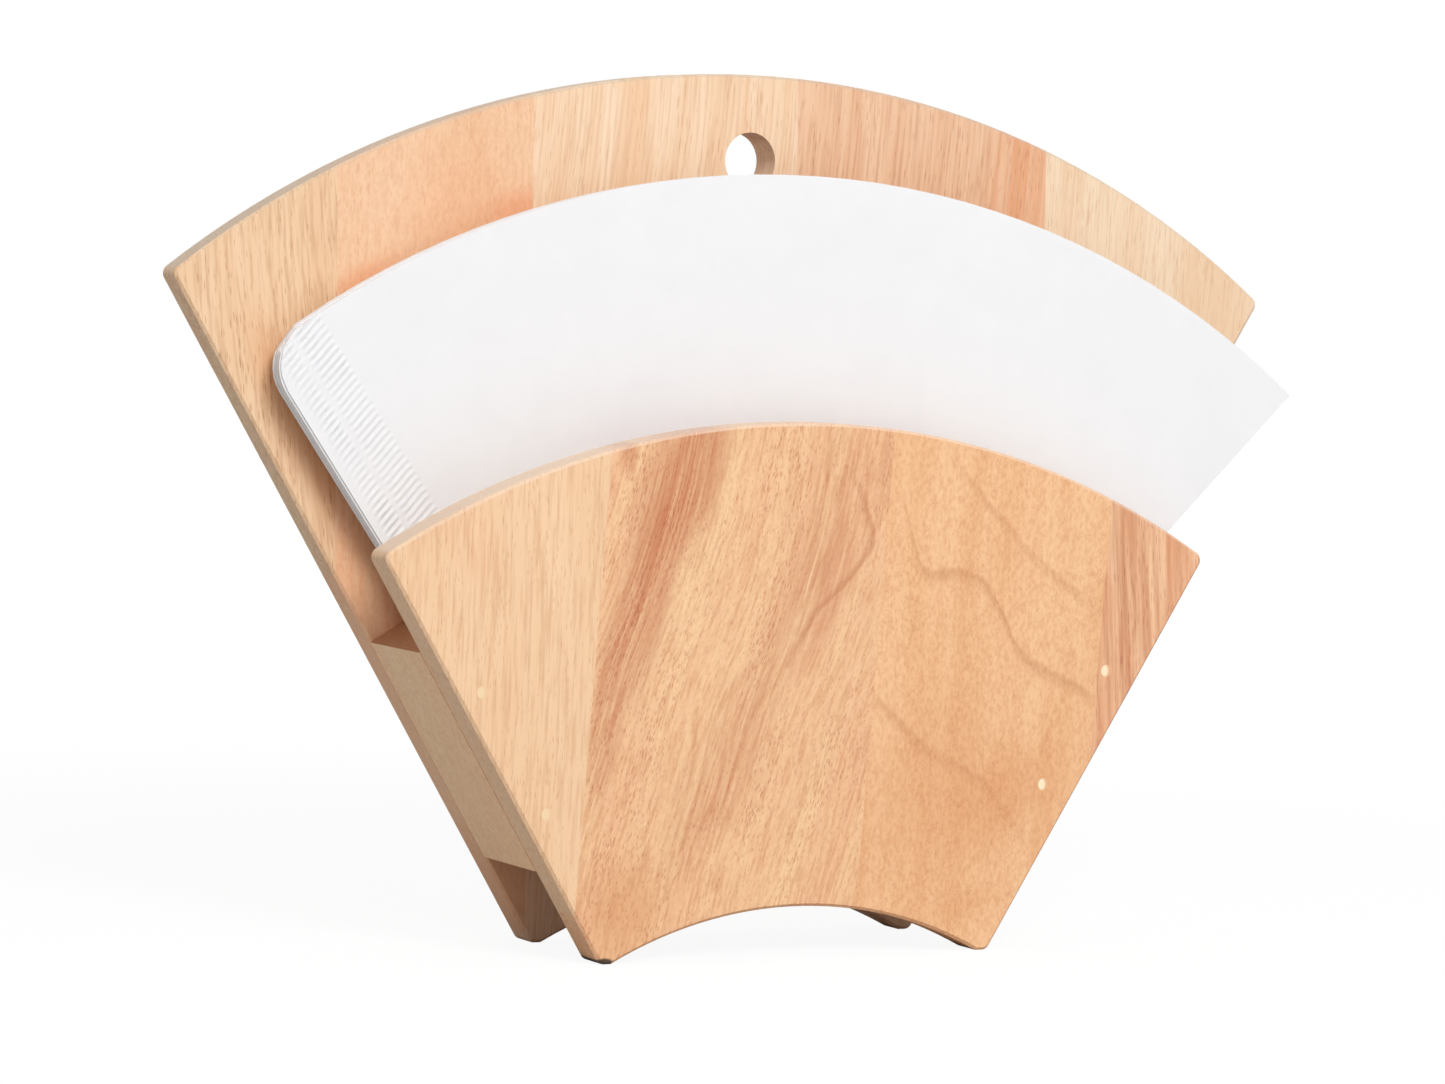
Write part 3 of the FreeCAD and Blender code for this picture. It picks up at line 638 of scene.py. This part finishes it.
def crimp(x, z):
    """How far the paper stands proud of its plane, in mm."""
    dx, dz = x - LEFT_AT[0], z - LEFT_AT[1]
    inset = dx * LEFT_IN[0] + dz * LEFT_IN[1]
    up_edge = dx * LEFT_UP[0] + dz * LEFT_UP[1]
    height = 0.0
    for n, (near, far) in enumerate(CRIMP_COLUMNS):
        inside = smooth((inset - near) / CRIMP_FADE) * smooth((far - inset) / CRIMP_FADE)
        phase = (up_edge - RIDGE_SLANT * inset) / RIDGE_PITCH + COLUMN_STEP * n
        # the wheel presses unevenly, so the ridges rise and fall along the band
        uneven = 0.75 + 0.5 * noise.noise(Vector((inset * 0.2, up_edge * 0.12, 3.0 + n)))
        height += inside * uneven * RIDGE_HEIGHT * math.sin(2 * math.pi * phase)
    return height


# %% Lay up the plies
FILTERS, PLY, STACK_MARGIN = 12, 0.18, 0.1           # a count, and mm
FOOT_SQUEEZE = 0.86                                  # the stack's depth at its foot, as a share
WAVE_HEIGHT, WAVE_LENGTH = 0.02, 25                  # mm
SLIDE_X, SLIDE_Z, TWIST = (-0.35, 0.3), (-0.3, 0.25), (-0.0018, 0.0018)    # mm, mm, radians
COARSE_INSETS = [0, 0.15, 0.5, 1.1, 1.9, 3.0, TOUCH_INSET, 8.0, BAND_END]
COARSE_FAN, COARSE_ROWS, FINE_BAND, FINE_FAN, FINE_ROWS = 34, 9, 34, 30, 620
random.seed(4)
points, faces = [], []


def lay_ply(lines, rows, centre_depth, shift, relief):
    """One closed ply: a front and a back grid with a rim between them."""
    columns = len(lines)
    first = len(points)
    for side in (-1, 1):
        for foot, top in lines:
            for r in range(rows + 1):
                share = r / rows
                x = foot[0] + share * (top[0] - foot[0])
                z = foot[1] + share * (top[1] - foot[1])
                squeezed = centre_depth * (FOOT_SQUEEZE + (1 - FOOT_SQUEEZE) * smooth(share * 1.1))
                wave = WAVE_HEIGHT * noise.noise(
                    Vector((x / WAVE_LENGTH, z / WAVE_LENGTH, centre_depth * 3)))
                depth = squeezed + wave + side * PLY / 2 - (crimp(x, z) if relief else 0.0)
                cx = x + shift[0] - shift[2] * (z - REST_Z)
                cz = z + shift[1] + shift[2] * x
                points.append(place_in_slot(cx, cz, depth))
    back = first + columns * (rows + 1)

    def at(base, c, r):
        return base + c * (rows + 1) + r

    for c in range(columns - 1):
        for r in range(rows):
            faces.append((at(first, c, r), at(first, c + 1, r), at(first, c + 1, r + 1),
                          at(first, c, r + 1)))
            faces.append((at(back, c, r), at(back, c, r + 1), at(back, c + 1, r + 1),
                          at(back, c + 1, r)))
    rim = [(c, 0) for c in range(columns)] + [(columns - 1, r) for r in range(1, rows + 1)]
    rim += [(c, rows) for c in range(columns - 2, -1, -1)] + [(0, r) for r in
                                                              range(rows - 1, 0, -1)]
    for (c0, r0), (c1, r1) in zip(rim, rim[1:] + rim[:1]):
        faces.append((at(first, c0, r0), at(back, c0, r0), at(back, c1, r1), at(first, c1, r1)))


coarse = sheet_lines(COARSE_INSETS, COARSE_FAN)
fine = sheet_lines([BAND_END * n / FINE_BAND for n in range(FINE_BAND + 1)], FINE_FAN)
ply_step = (STACK_DEEP - 2 * STACK_MARGIN) / (2 * FILTERS - 1)
for filter_number in range(FILTERS):
    loose = 0.0 if filter_number == 0 else 1.0
    shift = tuple(loose * random.uniform(*span) for span in (SLIDE_X, SLIDE_Z, TWIST))
    for ply in (0, 1):
        ply_depth = STACK_MARGIN + ply_step * (2 * filter_number + ply)
        showing = filter_number == 0 and ply == 0
        lay_ply(fine if showing else coarse, FINE_ROWS if showing else COARSE_ROWS, ply_depth,
                shift, showing)

stack_mesh = bpy.data.meshes.new("filter_sheets")
stack_mesh.from_pydata([tuple(p) for p in points], [], faces)
stack_mesh.shade_smooth()
stack_mesh.validate()
sheets = bpy.data.objects.new("filter_sheets", stack_mesh)
scene.collection.objects.link(sheets)
sharp = sheets.modifiers.new("rim_stays_crisp", "EDGE_SPLIT")
sharp.split_angle = math.radians(40)
print("plies:", 2 * FILTERS, "faces:", len(faces))

# %% [markdown]
# Filter paper is bleached pulp, creped so that it stretches: bright white, quite dull, with
# fine wrinkles half a millimetre apart and cloudy formation where the pulp lies thicker.

# %% Filter paper
CLOUD_SCALE, CREPE_SCALE = 120.0, 1900.0             # cells per metre

paper, tree = new_material("creped_filter_paper")
paper_place = add(tree, "TexCoord").outputs["Object"]
cloud = add(tree, "TexNoise", {"Vector": paper_place, "Scale": CLOUD_SCALE, "Detail": 4.0})
tint = add(tree, "Mix", {0: cloud, 6: linear("ededef"), 7: linear("f4f4f6")},
           data_type="RGBA").outputs[2]
crepe = add(tree, "TexNoise", {"Vector": paper_place, "Scale": CREPE_SCALE, "Detail": 3.0,
                               "Roughness": 0.6})
crepe_bump = add(tree, "Bump", {"Height": crepe, "Strength": 0.25, "Distance": 0.00008})
# thin pulp lets a little light through, all colours alike, so the three radii are the same
pulp = add(tree, "BsdfPrincipled", {
    "Base Color": tint, "Roughness": 0.9, "IOR": 1.45, "Subsurface Weight": 0.4,
    "Subsurface Radius": (1.0, 1.0, 1.0), "Subsurface Scale": 0.0003, "Normal": crepe_bump})
add(tree, "OutputMaterial", {"Surface": pulp})
sheets.data.materials.append(paper)
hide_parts("filter_stack")
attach(sheets, "root")

# %% [markdown]
# ## Floor and light
#
# The holder stands on a plain white floor in front of a plain white world. Making the floor
# white by more light would wash out the wood, so most of its white is given to camera rays
# alone, and the rest still takes the shadow. Away from the holder that share grows to the
# whole, so that no horizon shows between floor and world.

# %% Floor
FLOOR_HALF, FLOOR_DROP = 3, 0.0001                   # m: its half size, and how far it is sunk
OWN_WHITE, NEAR_SHARE = 1.085, 0.85
SHARE_FROM, SHARE_TO = 0.25, 0.9                     # m from the holder's middle

floor_mesh = bpy.data.meshes.new("floor")
floor_mesh.from_pydata([(x * FLOOR_HALF, y * FLOOR_HALF, 0) for x, y in (
    (-1, -1), (1, -1), (1, 1), (-1, 1))], [], [(0, 1, 2, 3)])
floor = bpy.data.objects.new("floor", floor_mesh)
scene.collection.objects.link(floor)
floor.location.z = -FLOOR_DROP
white, tree = new_material("white_floor")
matt = add(tree, "BsdfDiffuse", {"Color": linear("d0d0d0")})
own_white = add(tree, "Emission", {"Color": (1, 1, 1, 1), "Strength": OWN_WHITE})
seen = add(tree, "LightPath").outputs["Is Camera Ray"]
away = add(tree, "VectorMath", {0: add(tree, "TexCoord").outputs["Object"]}, operation="LENGTH")
own_share = add(tree, "MapRange", {"Value": away.outputs["Value"], "From Min": SHARE_FROM,
                                   "From Max": SHARE_TO, "To Min": NEAR_SHARE})
share_seen = add(tree, "Math", {0: seen, 1: own_share}, operation="MULTIPLY")
floor_white = add(tree, "MixShader", {0: share_seen, 1: matt, 2: own_white})
add(tree, "OutputMaterial", {"Surface": floor_white})
floor.data.materials.append(white)

# %% [markdown]
# A big soft lamp in front and above, a little to the left, gives the front faces their full
# colour. It leaves the left sides in shade, because they slant away below it, and the world
# fills that shade at under half strength.

# %% World and lamp
WORLD_SHOWN, WORLD_FILL = 1.0, 0.4
LAMP_DISTANCE, LAMP_SIZE, LAMP_LEVEL = 1.6, 0.7, 0.74    # m, m, and how bright white becomes
LAMP_FROM = Vector((-0.09, -0.80, 0.58)).normalized()
LAMP_AIM = Vector((0, 0, 0.08))

world = bpy.data.worlds.new("studio")
scene.world = world
world.use_nodes = True
tree = world.node_tree
tree.nodes.clear()
path = add(tree, "LightPath")
mirrored = add(tree, "Math", {0: path.outputs["Is Glossy Ray"],
                              1: path.outputs["Is Transmission Ray"]}, operation="ADD")
shown = add(tree, "Math", {0: path.outputs["Is Camera Ray"], 1: mirrored}, operation="ADD",
            use_clamp=True)
strength = add(tree, "Math", {0: shown, 1: WORLD_SHOWN - WORLD_FILL, 2: WORLD_FILL},
               operation="MULTIPLY_ADD")
sky = add(tree, "Background", {"Color": (1, 1, 1, 1), "Strength": strength})
add(tree, "OutputWorld", {"Surface": sky})

lamp_data = bpy.data.lights.new("softbox", "AREA")
lamp_data.shape = "SQUARE"
lamp_data.size = LAMP_SIZE
# a square lamp of power P lights a facing surface with P / (pi * distance * distance), and a
# white surface shows 1 / pi of that, so the level is how bright the lamp makes plain white
lamp_data.energy = LAMP_LEVEL * math.pi * math.pi * LAMP_DISTANCE ** 2
lamp = bpy.data.objects.new("softbox", lamp_data)
scene.collection.objects.link(lamp)
lamp.location = LAMP_FROM * LAMP_DISTANCE + LAMP_AIM
lamp.rotation_euler = LAMP_FROM.to_track_quat("Z", "Y").to_euler()
print("lamp power in watts:", round(lamp_data.energy, 1))
